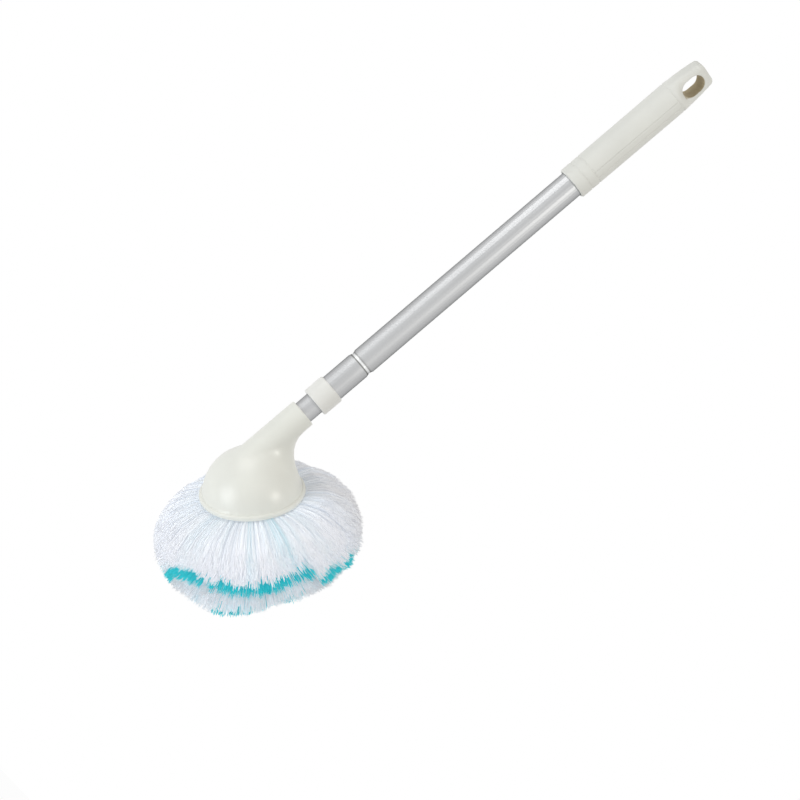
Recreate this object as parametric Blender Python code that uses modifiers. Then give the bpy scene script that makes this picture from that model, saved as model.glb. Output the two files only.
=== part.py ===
"""A telescopic bathroom scrub brush that hangs by the hole in its grip.

All sizes are in metres. The origin is the centre of the hanging hole. +Z runs up the pole to the
grip's end, the hanging hole runs along Y, and the brush head leans out towards +X.
"""

import math
import random

import bmesh
import bpy
from mathutils import Matrix, Vector

# General fits
GAP = 0.0003
OVERRUN = 0.0040
SINK = 0.0008
MERGE_DISTANCE = 0.00001

# Roundness
TURN_STEPS = 32
SMALL_STEPS = 24
CORNER_STEPS = 8
SHARP_ANGLE = math.radians(32)

# Outer tube
OUTER_TUBE_RADIUS = 0.0125
OUTER_TUBE_WALL = 0.0006
OUTER_TUBE_LENGTH = 0.4082
OUTER_TUBE_TOP_DROP = 0.0268
CRIMP_RISE = 0.0495
CRIMP_DEPTH = 0.0012
CRIMP_HALF_LENGTH = 0.0036
CRIMP_SHARES = (-1, -0.5, 0, 0.5, 1)

# Collar on the outer tube's lower end, and its guide sleeve
COLLAR_RADIUS = 0.0142
COLLAR_LENGTH = 0.0201
COLLAR_CUP_DEPTH = 0.0155
COLLAR_ROUND = 0.0009
COLLAR_LEAD_IN = 0.0006
SLEEVE_WALL = 0.0008

# Inner tube
INNER_TUBE_WALL = 0.0007
TUBE_REVEAL = 0.0135

# Plug in the inner tube's lower end
PLUG_LENGTH = 0.0120
PLUG_FLANGE = 0.0016
PLUG_CORING_WALL = 0.0022

# Grip
GRIP_END_RISE = 0.0182
GRIP_LENGTH = 0.1573
GRIP_FOOT_RADIUS = 0.0155
GRIP_SHOULDER_RADIUS = 0.0158
GRIP_FOOT_CHAMFER = 0.0012
LOWER_GROOVE_RISE = 0.0116
MIDDLE_GROOVE_RISE = 0.0204
UPPER_GROOVE_DROP = 0.0198
GROOVE_HALF_WIDTH = 0.0009
GROOVE_FLOOR_SHARE = 0.35
GROOVE_DEPTH = 0.0005
PANEL_STRIP_HALF_WIDTH = 0.0034
PANEL_CORNER = 0.0030
PANEL_GROOVE_RADIUS = 0.0007
PANEL_CORNER_STEPS = 3

# Flattened eye at the grip's end
EYE_HALF_THICKNESS = 0.0080
EYE_ROOT_HALF_WIDTH = 0.0156
EYE_TIP_HALF_WIDTH = 0.0130
EYE_MIDDLE_SHARE = 0.62
EYE_EDGE_RADIUS = 0.0052
EYE_SLOPE_LENGTH = 0.0100
EYE_SLOPE_STEPS = 6
EYE_END_ROUND = 0.0045
EYE_END_FACE_ROUND = 0.0024
EYE_END_STEPS = 4
HANG_HOLE_HALF_WIDTH = 0.0085
HANG_HOLE_HALF_HEIGHT = 0.0114
HANG_HOLE_CORNER = 0.0083
HANG_HOLE_FILLET = 0.0011
HANG_HOLE_FILLET_TURNS = (0, 40, 75)

# Twist lock
LOCK_ROOM = 0.0427
LOCK_OFFSET = 0.0012
LOCK_HALF_TWIST = math.radians(45)
LOCK_WALL_GAP = 0.0002
LOCK_HEADING = math.radians(90)
STUB_RADIUS = 0.0056
LOCK_RING_LENGTH = 0.0120
LOCK_RING_SLIT = 0.0016
LOCK_CHAMFER = 0.0006
CORE_FLANGE = 0.0030
CORE_PLUG_LENGTH = 0.0250
CORE_WALL = 0.0024
CORE_CORING_DEPTH = 0.0180
CORE_TIP_RADIUS = 0.0040
GUIDE_LENGTH = 0.0080
GUIDE_WAIST_DEPTH = 0.0012
GUIDE_LAND_SHARE = 0.25
SCREW_HEAD_RADIUS = 0.0055
SCREW_HEAD_HEIGHT = 0.0025
SCREW_HEAD_ROUND = 0.0010
SCREW_SOCKET_RADIUS = 0.0018
SCREW_SOCKET_DEPTH = 0.0012
SCREW_SHANK_RADIUS = 0.0015
SCREW_LENGTH = 0.0130

# Head: neck and dome
HEAD_TILT = math.radians(60)
SHELL_WALL = 0.0030
DOME_RADIUS = 0.0453
DOME_OFFSET = 0.0326
NECK_TO_DOME = 0.0809
NECK_END_ROUND = 0.0008
NECK_FRONT_LENGTH = 0.0054
NECK_BACK_RISE = 0.0133
NECK_HANDLE_SHARE = 0.40
ROOT_LEAN = math.radians(38.3)
ROOT_REACH_LONG = math.radians(53.5)
ROOT_REACH_WIDE = math.radians(35.2)
RIM_TUCK = 0.0008
HEAD_COLUMNS = 36
BLEND_STEPS = 6
DOME_STEPS = 6
NECK_SOCKET_DEPTH = 0.0368
SOCKET_FLOOR = 0.0025
SOCKET_VENT_RADIUS = 0.0082
SOCKET_CORE_INSET = 0.0008
SOCKET_CORE_START = 0.0080

# Bead lip, the tuft block's seat and its ledge
LIP_RADIUS = 0.0478
LIP_HEIGHT = 0.0051
LIP_ROUND = 0.0018
LIP_ROUND_STEPS = 3
SEAT_STEP = 0.0004
SEAT_DEPTH = 0.0073
LEDGE_WIDTH = 0.0018
LEDGE_HEIGHT = 0.0030

# Tuft block and the slices of its skin
BASE_BULGE = 0.0200
BASE_EDGE_RISE = 0.0006
BASE_EDGE_INSET = 0.0004
SLICE_THICKNESS = 0.0025
BLOCK_RECESS_RADIUS = 0.0340
BLOCK_RECESS_DEPTH = 0.0040
BLOCK_ARC_STEPS = 6
SLICE_STEPS = 28

# Bristles: rows from the rim inwards, as strands in a row and the tips' angle below the widest turn
ROW_COUNTS = (60, 56, 49, 43, 36, 29, 21, 13, 6)
ROW_ROOT_SHARES = (0.93, 0.825, 0.72, 0.615, 0.51, 0.405, 0.30, 0.195, 0.085)
ROW_TIP_TURNS = (-25, -16, -8, 1, 12, 26, 42, 60, 80)
ROW_LIFT_SHARES = (1, 0.9, 0.7, 0.4, 0.1, 0, 0, 0, 0)
SPREAD_RADIUS = 0.0942
SPREAD_HALF_DEPTH = 0.0540
SPREAD_DROP = 0.0398
SPREAD_LIFT = math.radians(13)
SPREAD_LIFT_HEADING = math.radians(33)
SPREAD_LEAN = math.radians(4)
SPREAD_LEAN_HEADING = math.radians(-41)
STRAND_ROOT_RADIUS = 0.0009
STRAND_TIP_RADIUS = 0.0015
STRAND_ROOT_DEPTH = 0.0013
STRAND_REACH_SHARE = 0.45
STRAND_LENGTH_SPREAD_SHARE = 0.035
STRAND_SIDES = 3
STRAND_STATIONS = (0, 0.5, 1)
BRISTLE_SEED = 11

# Nodes of the bristles: name, colour, first row and last row
BRISTLE_NODES = (
    ("bristles_rim", "white", 0, 0),
    ("bristles_outer", "white", 1, 2),
    ("bristles_teal_outer", "teal", 3, 3),
    ("bristles_middle", "white", 4, 4),
    ("bristles_teal_inner", "teal", 5, 5),
    ("bristles_inner", "white", 6, 6),
    ("bristles_core", "white", 7, 8),
)

# Radii that follow from the fits
outer_tube_bore = OUTER_TUBE_RADIUS - OUTER_TUBE_WALL
sleeve_radius = outer_tube_bore - GAP
sleeve_bore = sleeve_radius - SLEEVE_WALL
inner_tube_radius = sleeve_bore - GAP
inner_tube_bore = inner_tube_radius - INNER_TUBE_WALL
tube_insert_radius = inner_tube_bore - GAP
socket_radius = inner_tube_radius + GAP
neck_radius = inner_tube_radius + SHELL_WALL
seat_radius = DOME_RADIUS - SHELL_WALL + SEAT_STEP
block_radius = seat_radius - GAP
lock_shift = 2 * LOCK_OFFSET * math.sin(LOCK_HALF_TWIST / 2)
lock_ring_radius = outer_tube_bore - lock_shift - LOCK_WALL_GAP

# Heights that follow from the stack along the pole
outer_tube_top = -OUTER_TUBE_TOP_DROP
outer_tube_bottom = outer_tube_top - OUTER_TUBE_LENGTH
crimp_height = outer_tube_bottom + CRIMP_RISE
sleeve_top = crimp_height - CRIMP_HALF_LENGTH - GAP
collar_top = outer_tube_bottom + COLLAR_CUP_DEPTH
collar_bottom = collar_top - COLLAR_LENGTH
neck_end = collar_bottom - TUBE_REVEAL
socket_bottom = neck_end - NECK_SOCKET_DEPTH
plug_bottom = socket_bottom + GAP
inner_tube_bottom = plug_bottom + PLUG_FLANGE + GAP
inner_tube_top = outer_tube_top - LOCK_ROOM
core_flange_bottom = inner_tube_top + GAP
core_flange_top = core_flange_bottom + CORE_FLANGE
lock_ring_bottom = core_flange_top + GAP
lock_ring_top = lock_ring_bottom + LOCK_RING_LENGTH
stub_top = lock_ring_top + GAP
guide_bottom = stub_top + GAP
guide_top = guide_bottom + GUIDE_LENGTH
core_tip = guide_top + GAP
screw_head_bottom = core_tip + GAP
grip_bottom = GRIP_END_RISE - GRIP_LENGTH
upper_groove_height = -UPPER_GROOVE_DROP
dome_height = neck_end - NECK_TO_DOME
neck_front_foot = neck_end - NECK_FRONT_LENGTH
neck_back_foot = dome_height + NECK_BACK_RISE

# Sphere that the tuft block's skin follows, in the head's own axes
base_edge_radius = block_radius - BASE_EDGE_INSET
base_radius = (base_edge_radius ** 2 + BASE_BULGE ** 2) / (2 * BASE_BULGE)
base_centre = base_radius - BASE_BULGE + BASE_EDGE_RISE
base_edge_turn = math.asin(base_edge_radius / base_radius)


def start_empty_scene():
    """Remove what an earlier run or the start-up file left."""
    for old in list(bpy.data.objects):
        bpy.data.objects.remove(old, do_unlink=True)
    for old in list(bpy.data.collections):
        bpy.data.collections.remove(old)


def new_collection(name):
    collection = bpy.data.collections.new(name)
    bpy.context.scene.collection.children.link(collection)
    return collection


def new_empty(name, collection, matrix, parent=None):
    empty = bpy.data.objects.new(name, None)
    empty.empty_display_size = DOME_RADIUS
    collection.objects.link(empty)
    empty.parent = parent
    empty.matrix_local = matrix
    return empty


def new_material(name, colour, roughness, metallic=0.0):
    material = bpy.data.materials.new(name)
    material.use_nodes = True
    shader = material.node_tree.nodes["Principled BSDF"]
    shader.inputs["Base Color"].default_value = (*colour, 1.0)
    shader.inputs["Roughness"].default_value = roughness
    shader.inputs["Metallic"].default_value = metallic
    material.diffuse_color = (*colour, 1.0)
    return material


def new_object(name, mesh, collection, parent):
    piece = bpy.data.objects.new(name, mesh)
    collection.objects.link(piece)
    piece.parent = parent
    return piece


def face_outwards(mesh):
    shape = bmesh.new()
    shape.from_mesh(mesh)
    bmesh.ops.recalc_face_normals(shape, faces=shape.faces)
    shape.to_mesh(mesh)
    shape.free()


def weld(mesh):
    """Merge points that coincide and drop the slivers between them."""
    shape = bmesh.new()
    shape.from_mesh(mesh)
    bmesh.ops.remove_doubles(shape, verts=shape.verts, dist=MERGE_DISTANCE)
    bmesh.ops.dissolve_degenerate(shape, edges=shape.edges, dist=MERGE_DISTANCE)
    shape.to_mesh(mesh)
    shape.free()


def turned(name, outline, collection, parent, steps=TURN_STEPS, solid=False):
    """Turn (radius, height) points round Z. They run down the outer side, and a solid ends on Z."""
    mesh = bpy.data.meshes.new(name)
    points = [(radius, 0, height) for radius, height in outline]
    edges = [(i, i + 1) for i in range(len(points) - 1)]
    if not solid:
        edges.append((len(points) - 1, 0))
    mesh.from_pydata(points, edges, [])
    piece = new_object(name, mesh, collection, parent)
    screw = piece.modifiers.new("turn", "SCREW")
    screw.axis = "Z"
    screw.steps = steps
    screw.render_steps = steps
    screw.use_merge_vertices = True
    screw.merge_threshold = MERGE_DISTANCE
    return piece


def lofted(name, rings, collection, parent, capped=True):
    """Join rings of points with quads. Every ring has as many points."""
    count = len(rings[0])
    points = [point for ring in rings for point in ring]
    faces = []
    for row in range(len(rings) - 1):
        for i in range(count):
            here = row * count + i
            beside = row * count + (i + 1) % count
            faces.append((here, beside, beside + count, here + count))
    if capped:
        faces.append(tuple(range(count)))
        faces.append(tuple(range(len(points) - count, len(points))))
    mesh = bpy.data.meshes.new(name)
    mesh.from_pydata(points, [], faces)
    face_outwards(mesh)
    return new_object(name, mesh, collection, parent)


def tube_along(name, points, radius, collection, parent):
    """A round bar along points, as a closed mesh."""
    curve = bpy.data.curves.new(name, "CURVE")
    curve.dimensions = "3D"
    curve.bevel_depth = radius
    curve.bevel_resolution = 1
    curve.use_fill_caps = True
    spline = curve.splines.new("POLY")
    spline.points.add(len(points) - 1)
    for place, point in zip(spline.points, points):
        place.co = (*point, 1)
    path = bpy.data.objects.new(name + "_path", curve)
    collection.objects.link(path)
    mesh = bpy.data.meshes.new_from_object(path.evaluated_get(bpy.context.evaluated_depsgraph_get()))
    weld(mesh)
    bar = new_object(name, mesh, collection, parent)
    bar.matrix_world = path.matrix_world
    bpy.data.objects.remove(path)
    return bar


def combine(piece, other, operation):
    boolean = piece.modifiers.new(operation.lower() + "_" + other.name, "BOOLEAN")
    boolean.operation = operation
    boolean.solver = "EXACT"
    boolean.object = other
    other.hide_render = True
    other.display_type = "WIRE"


def cut(piece, cutter):
    combine(piece, cutter, "DIFFERENCE")


def join(piece, addition):
    combine(piece, addition, "UNION")


def bake(piece):
    """Make the modifiers' result the piece's own mesh."""
    depsgraph = bpy.context.evaluated_depsgraph_get()
    mesh = bpy.data.meshes.new_from_object(piece.evaluated_get(depsgraph))
    piece.modifiers.clear()
    piece.data = mesh
    mesh.name = piece.name
    weld(mesh)
    return piece


def settle(piece, material):
    """Finish a piece: its own mesh and material, smooth but for its real edges."""
    mesh = bake(piece).data
    mesh.materials.clear()
    mesh.materials.append(material)
    mesh.shade_smooth()
    mesh.set_sharp_from_angle(angle=SHARP_ANGLE)
    return piece


def arc(centre_height, radius, first_turn, last_turn, steps):
    """(radius, height) points below a centre on Z, at even turns from straight down."""
    points = []
    for i in range(steps + 1):
        turn = first_turn + (last_turn - first_turn) * i / steps
        points.append((radius * math.sin(turn), centre_height - radius * math.cos(turn)))
    return points


def rounded_section(half_width, half_depth, corner):
    """A rounded rectangle's points, with the same count for each size, so that it can be lofted."""
    points = []
    for i in range(4 * CORNER_STEPS):
        turn = (i + 0.5) * math.pi / (2 * CORNER_STEPS)
        across = math.cos(turn)
        along = math.sin(turn)
        points.append((
            math.copysign(half_width - corner, across) + corner * across,
            math.copysign(half_depth - corner, along) + corner * along,
        ))
    return points


def grip_radius(height):
    """Radius of the round part of the grip, which swells towards its shoulder."""
    share = (height - grip_bottom) / (upper_groove_height - grip_bottom)
    return GRIP_FOOT_RADIUS + (GRIP_SHOULDER_RADIUS - GRIP_FOOT_RADIUS) * share


def grip_rings():
    """Sections of the grip from its foot to the eye's end."""
    sizes = []

    def add_round(height, inset=0.0):
        radius = grip_radius(height) - inset
        sizes.append((height, radius, radius, radius))

    add_round(grip_bottom, GRIP_FOOT_CHAMFER)
    add_round(grip_bottom + GRIP_FOOT_CHAMFER)
    floor_half_width = GROOVE_HALF_WIDTH * GROOVE_FLOOR_SHARE
    lower_groove_height = grip_bottom + LOWER_GROOVE_RISE
    middle_groove_height = grip_bottom + MIDDLE_GROOVE_RISE
    for middle in (lower_groove_height, middle_groove_height, upper_groove_height):
        add_round(middle - GROOVE_HALF_WIDTH)
        add_round(middle - floor_half_width, GROOVE_DEPTH)
        add_round(middle + floor_half_width, GROOVE_DEPTH)
        add_round(middle + GROOVE_HALF_WIDTH)

    slope_bottom = upper_groove_height + GROOVE_HALF_WIDTH
    slope_top = slope_bottom + EYE_SLOPE_LENGTH
    for i in range(1, EYE_SLOPE_STEPS + 1):
        share = i / EYE_SLOPE_STEPS
        ease = (1 - math.cos(math.pi * share)) / 2
        width = GRIP_SHOULDER_RADIUS + (EYE_ROOT_HALF_WIDTH - GRIP_SHOULDER_RADIUS) * ease
        depth = GRIP_SHOULDER_RADIUS + (EYE_HALF_THICKNESS - GRIP_SHOULDER_RADIUS) * ease
        corner = GRIP_SHOULDER_RADIUS + (EYE_EDGE_RADIUS - GRIP_SHOULDER_RADIUS) * ease
        sizes.append((slope_bottom + EYE_SLOPE_LENGTH * share, width, depth, corner))

    round_bottom = GRIP_END_RISE - EYE_END_ROUND
    middle_width = EYE_TIP_HALF_WIDTH + (EYE_ROOT_HALF_WIDTH - EYE_TIP_HALF_WIDTH) * EYE_MIDDLE_SHARE
    sizes.append(((slope_top + round_bottom) / 2, middle_width, EYE_HALF_THICKNESS, EYE_EDGE_RADIUS))
    for i in range(EYE_END_STEPS + 1):
        turn = math.pi / 2 * i / EYE_END_STEPS
        inset = 1 - math.cos(turn)
        height = round_bottom + EYE_END_ROUND * math.sin(turn)
        width = EYE_TIP_HALF_WIDTH - EYE_END_ROUND * inset
        depth = EYE_HALF_THICKNESS - EYE_END_FACE_ROUND * inset
        corner = EYE_EDGE_RADIUS - EYE_END_FACE_ROUND * inset
        sizes.append((height, width, depth, corner))

    return [
        [(x, y, height) for x, y in rounded_section(width, depth, corner)]
        for height, width, depth, corner in sizes
    ]


def panel_edge_points(side_x, side_y):
    """A side panel's edge on the grip's face, with a round corner into each ring groove."""
    low = grip_bottom + MIDDLE_GROOVE_RISE
    high = upper_groove_height
    bend = PANEL_STRIP_HALF_WIDTH + PANEL_CORNER
    flat = [(bend + PANEL_CORNER, low)]
    for i in range(PANEL_CORNER_STEPS + 1):
        turn = math.pi / 2 * i / PANEL_CORNER_STEPS
        flat.append((bend - PANEL_CORNER * math.sin(turn), low + PANEL_CORNER * (1 - math.cos(turn))))
    for i in range(PANEL_CORNER_STEPS + 1):
        turn = math.pi / 2 * i / PANEL_CORNER_STEPS
        flat.append((bend - PANEL_CORNER * math.cos(turn), high - PANEL_CORNER * (1 - math.sin(turn))))
    flat.append((bend + PANEL_CORNER, high))
    points = []
    for along, height in flat:
        radius = grip_radius(height)
        turn = along / radius
        reach = radius + PANEL_GROOVE_RADIUS - GROOVE_DEPTH
        points.append((side_x * reach * math.sin(turn), side_y * reach * math.cos(turn), height))
    return points


def hang_hole_rings():
    """Sections of the hanging hole's cutter along Y, flared at both faces."""
    sizes = []
    for turn_degrees in HANG_HOLE_FILLET_TURNS:
        turn = math.radians(turn_degrees)
        reach = EYE_HALF_THICKNESS - HANG_HOLE_FILLET * (1 - math.sin(turn))
        sizes.append((reach, HANG_HOLE_FILLET * (1 - math.cos(turn))))
    sizes.append((GRIP_SHOULDER_RADIUS + OVERRUN, HANG_HOLE_FILLET))
    mirrored = [(-reach, flare) for reach, flare in reversed(sizes)]
    rings = []
    for reach, flare in mirrored + sizes:
        section = rounded_section(
            HANG_HOLE_HALF_WIDTH + flare, HANG_HOLE_HALF_HEIGHT + flare, HANG_HOLE_CORNER + flare)
        rings.append([(x, reach, z) for x, z in section])
    return rings


def make_grip(parts, cutters, parent, material):
    grip = lofted("grip", grip_rings(), parts, parent)
    bore_radius = OUTER_TUBE_RADIUS + GAP
    bore_top = outer_tube_top + GAP
    bore_bottom = grip_bottom - OVERRUN
    bore = turned("grip_bore_cutter", [
        (0, bore_top),
        (bore_radius, bore_top),
        (bore_radius, bore_bottom),
        (0, bore_bottom),
    ], cutters, parent, solid=True)
    cut(grip, bore)
    cut(grip, lofted("hang_hole_cutter", hang_hole_rings(), cutters, parent))
    for side_x in (-1, 1):
        for side_y in (-1, 1):
            name = f"panel_edge_cutter_{side_x + 1}{side_y + 1}"
            points = panel_edge_points(side_x, side_y)
            cut(grip, tube_along(name, points, PANEL_GROOVE_RADIUS, cutters, parent))
    return settle(grip, material)


def crimp_points(radius):
    """(radius, height) points of the rolled crimp on a wall of this radius, top to bottom."""
    points = []
    for share in CRIMP_SHARES:
        dip = CRIMP_DEPTH * (1 + math.cos(math.pi * share)) / 2
        points.append((radius - dip, crimp_height - CRIMP_HALF_LENGTH * share))
    return points


def make_outer_tube(parts, parent, material):
    outline = [(OUTER_TUBE_RADIUS, outer_tube_top)]
    outline += crimp_points(OUTER_TUBE_RADIUS)
    outline.append((OUTER_TUBE_RADIUS, outer_tube_bottom))
    outline.append((outer_tube_bore, outer_tube_bottom))
    outline += reversed(crimp_points(outer_tube_bore))
    outline.append((outer_tube_bore, outer_tube_top))
    return settle(turned("outer_tube", outline, parts, parent), material)


def make_guide_collar(parts, parent, material):
    """Collar that cups the outer tube's end, in one moulding with the sleeve inside the tube."""
    cup_radius = OUTER_TUBE_RADIUS + GAP
    cup_bottom = outer_tube_bottom - GAP
    outline = [
        (sleeve_radius, sleeve_top),
        (sleeve_radius, cup_bottom),
        (cup_radius, cup_bottom),
        (cup_radius, collar_top),
        (COLLAR_RADIUS - COLLAR_ROUND, collar_top),
        (COLLAR_RADIUS, collar_top - COLLAR_ROUND),
        (COLLAR_RADIUS, collar_bottom + COLLAR_ROUND),
        (COLLAR_RADIUS - COLLAR_ROUND, collar_bottom),
        (sleeve_bore + COLLAR_LEAD_IN, collar_bottom),
        (sleeve_bore, collar_bottom + COLLAR_LEAD_IN),
        (sleeve_bore, sleeve_top),
    ]
    return settle(turned("guide_collar", outline, parts, parent), material)


def make_inner_tube(parts, parent, material):
    outline = [
        (inner_tube_radius, inner_tube_top),
        (inner_tube_radius, inner_tube_bottom),
        (inner_tube_bore, inner_tube_bottom),
        (inner_tube_bore, inner_tube_top),
    ]
    return settle(turned("inner_tube", outline, parts, parent), material)


def make_tube_plug(parts, parent, material):
    plug_top = inner_tube_bottom + PLUG_LENGTH
    flange_top = plug_bottom + PLUG_FLANGE
    coring_radius = tube_insert_radius - PLUG_CORING_WALL
    outline = [
        (0, flange_top),
        (coring_radius, flange_top),
        (coring_radius, plug_top),
        (tube_insert_radius - LOCK_CHAMFER, plug_top),
        (tube_insert_radius, plug_top - LOCK_CHAMFER),
        (tube_insert_radius, flange_top),
        (inner_tube_radius, flange_top),
        (inner_tube_radius, plug_bottom),
        (0, plug_bottom),
    ]
    plug = turned("tube_plug", outline, parts, parent, steps=SMALL_STEPS, solid=True)
    return settle(plug, material)


def make_lock_core(parts, cutters, parent, material):
    """Spindle: a plug for the tube, a flange on its end, an off-centre stub and a central tip."""
    plug_end = inner_tube_top - CORE_PLUG_LENGTH
    coring_radius = tube_insert_radius - CORE_WALL
    core = turned("lock_core", [
        (0, core_tip),
        (CORE_TIP_RADIUS - LOCK_CHAMFER, core_tip),
        (CORE_TIP_RADIUS, core_tip - LOCK_CHAMFER),
        (CORE_TIP_RADIUS, core_flange_top),
        (inner_tube_radius, core_flange_top),
        (inner_tube_radius, core_flange_bottom),
        (tube_insert_radius, core_flange_bottom),
        (tube_insert_radius, plug_end + LOCK_CHAMFER),
        (tube_insert_radius - LOCK_CHAMFER, plug_end),
        (coring_radius, plug_end),
        (coring_radius, plug_end + CORE_CORING_DEPTH),
        (0, plug_end + CORE_CORING_DEPTH),
    ], parts, parent, steps=SMALL_STEPS, solid=True)
    stub_bottom = core_flange_top - SINK
    stub = turned("lock_stub", [
        (0, stub_top),
        (STUB_RADIUS, stub_top),
        (STUB_RADIUS, stub_bottom),
        (0, stub_bottom),
    ], cutters, parent, steps=SMALL_STEPS, solid=True)
    stub.location = lock_axis_place(0)
    join(core, stub)
    screw_hole_radius = SCREW_SHANK_RADIUS + GAP
    screw_hole_end = core_tip - SCREW_LENGTH - GAP
    cut(core, turned("screw_hole_cutter", [
        (0, core_tip + OVERRUN),
        (screw_hole_radius, core_tip + OVERRUN),
        (screw_hole_radius, screw_hole_end),
        (0, screw_hole_end),
    ], cutters, parent, steps=SMALL_STEPS, solid=True))
    return settle(core, material)


def lock_axis_place(height):
    """Where the off-centre stub's axis stands at rest."""
    return Vector((
        LOCK_OFFSET * math.cos(LOCK_HEADING),
        LOCK_OFFSET * math.sin(LOCK_HEADING),
        height,
    ))


def make_lock_ring(parts, cutters, parent, material):
    """Split cam ring, off-centre by as much as the stub, so that the two cancel in the free middle."""
    thick_side = LOCK_HEADING + LOCK_HALF_TWIST + math.pi
    ring = bake(turned("lock_ring", [
        (0, LOCK_RING_LENGTH),
        (lock_ring_radius - LOCK_CHAMFER, LOCK_RING_LENGTH),
        (lock_ring_radius, LOCK_RING_LENGTH - LOCK_CHAMFER),
        (lock_ring_radius, LOCK_CHAMFER),
        (lock_ring_radius - LOCK_CHAMFER, 0),
        (0, 0),
    ], parts, parent, solid=True))
    shift = (LOCK_OFFSET * math.cos(thick_side), LOCK_OFFSET * math.sin(thick_side), 0)
    ring.data.transform(Matrix.Translation(shift))
    ring.location = lock_axis_place(lock_ring_bottom)
    bore = turned("lock_ring_bore_cutter", [
        (0, LOCK_RING_LENGTH + OVERRUN),
        (STUB_RADIUS + GAP, LOCK_RING_LENGTH + OVERRUN),
        (STUB_RADIUS + GAP, -OVERRUN),
        (0, -OVERRUN),
    ], cutters, ring, steps=SMALL_STEPS, solid=True)
    cut(ring, bore)
    slit_length = lock_ring_radius + OVERRUN
    slit = new_block("lock_ring_slit_cutter", cutters, ring, (
        slit_length, LOCK_RING_SLIT, LOCK_RING_LENGTH + 2 * OVERRUN))
    thin_side = thick_side - math.pi
    slit.rotation_euler.z = thin_side
    slit.location = (
        slit_length / 2 * math.cos(thin_side),
        slit_length / 2 * math.sin(thin_side),
        LOCK_RING_LENGTH / 2,
    )
    cut(ring, slit)
    return settle(ring, material)


def new_block(name, collection, parent, size):
    shape = bmesh.new()
    bmesh.ops.create_cube(shape, size=1)
    bmesh.ops.scale(shape, vec=size, verts=shape.verts)
    mesh = bpy.data.meshes.new(name)
    shape.to_mesh(mesh)
    shape.free()
    return new_object(name, mesh, collection, parent)


def make_slide_guide(parts, parent, material):
    """Bush with two lands that run in the outer tube, and a waist between them."""
    land = GUIDE_LENGTH * GUIDE_LAND_SHARE
    waist_radius = sleeve_radius - GUIDE_WAIST_DEPTH
    bore = CORE_TIP_RADIUS + GAP
    outline = [
        (sleeve_radius - LOCK_CHAMFER, guide_top),
        (sleeve_radius, guide_top - LOCK_CHAMFER),
        (sleeve_radius, guide_top - land),
        (waist_radius, guide_top - land),
        (waist_radius, guide_bottom + land),
        (sleeve_radius, guide_bottom + land),
        (sleeve_radius, guide_bottom + LOCK_CHAMFER),
        (sleeve_radius - LOCK_CHAMFER, guide_bottom),
        (bore, guide_bottom),
        (bore, guide_top),
    ]
    return settle(turned("slide_guide", outline, parts, parent), material)


def make_lock_screw(parts, parent, material):
    head_top = screw_head_bottom + SCREW_HEAD_HEIGHT
    outline = [
        (0, head_top - SCREW_SOCKET_DEPTH),
        (SCREW_SOCKET_RADIUS, head_top - SCREW_SOCKET_DEPTH),
        (SCREW_SOCKET_RADIUS, head_top),
        (SCREW_HEAD_RADIUS - SCREW_HEAD_ROUND, head_top),
        (SCREW_HEAD_RADIUS, head_top - SCREW_HEAD_ROUND),
        (SCREW_HEAD_RADIUS, screw_head_bottom),
        (SCREW_SHANK_RADIUS, screw_head_bottom),
        (SCREW_SHANK_RADIUS, core_tip - SCREW_LENGTH + SCREW_SHANK_RADIUS),
        (0, core_tip - SCREW_LENGTH),
    ]
    screw = turned("lock_screw", outline, parts, parent, steps=SMALL_STEPS, solid=True)
    return settle(screw, material)


def head_column(turn):
    """Outer skin at one turn round the pole: down the neck, over the blend, along the dome to the rim."""
    up = Vector((0, 0, 1))
    aside = Vector((0, 1, 0))
    dome_centre = Vector((DOME_OFFSET, 0, dome_height))
    neck_top = Vector((neck_radius * math.cos(turn), neck_radius * math.sin(turn), neck_end))
    neck_foot = neck_top.copy()
    front_share = (1 + math.cos(turn)) / 2
    neck_foot.z = neck_back_foot + (neck_front_foot - neck_back_foot) * front_share

    root_axis = Vector((-math.sin(ROOT_LEAN), 0, math.cos(ROOT_LEAN)))
    root_up = Vector((math.cos(ROOT_LEAN), 0, math.sin(ROOT_LEAN)))
    reach_long = ROOT_REACH_LONG * math.cos(turn)
    reach_wide = ROOT_REACH_WIDE * math.sin(turn)
    reach = math.hypot(reach_long, reach_wide)
    sideways = (root_up * reach_long + aside * reach_wide) / reach
    root = root_axis * math.cos(reach) + sideways * math.sin(reach)

    head_axis = Vector((-math.sin(HEAD_TILT), 0, math.cos(HEAD_TILT)))
    rim_long = Vector((math.cos(HEAD_TILT), 0, math.sin(HEAD_TILT)))
    tuck = math.asin(RIM_TUCK / DOME_RADIUS)
    rim = (rim_long * math.cos(turn) + aside * math.sin(turn)) * math.cos(tuck) + head_axis * math.sin(tuck)
    onwards = (rim - root * root.dot(rim)).normalized()

    root_point = dome_centre + root * DOME_RADIUS
    handle = (root_point - neck_foot).length * NECK_HANDLE_SHARE
    points = [neck_top, neck_foot]
    for i in range(1, BLEND_STEPS + 1):
        share = i / BLEND_STEPS
        points.append(bezier(
            neck_foot, neck_foot - up * handle, root_point - onwards * handle, root_point, share))
    sweep = root.angle(rim)
    for i in range(1, DOME_STEPS + 1):
        step = sweep * i / DOME_STEPS
        points.append(dome_centre + (root * math.cos(step) + onwards * math.sin(step)) * DOME_RADIUS)
    return points


def bezier(first, second, third, last, share):
    rest = 1 - share
    return (first * rest ** 3 + second * 3 * rest ** 2 * share
            + third * 3 * rest * share ** 2 + last * share ** 3)


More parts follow.
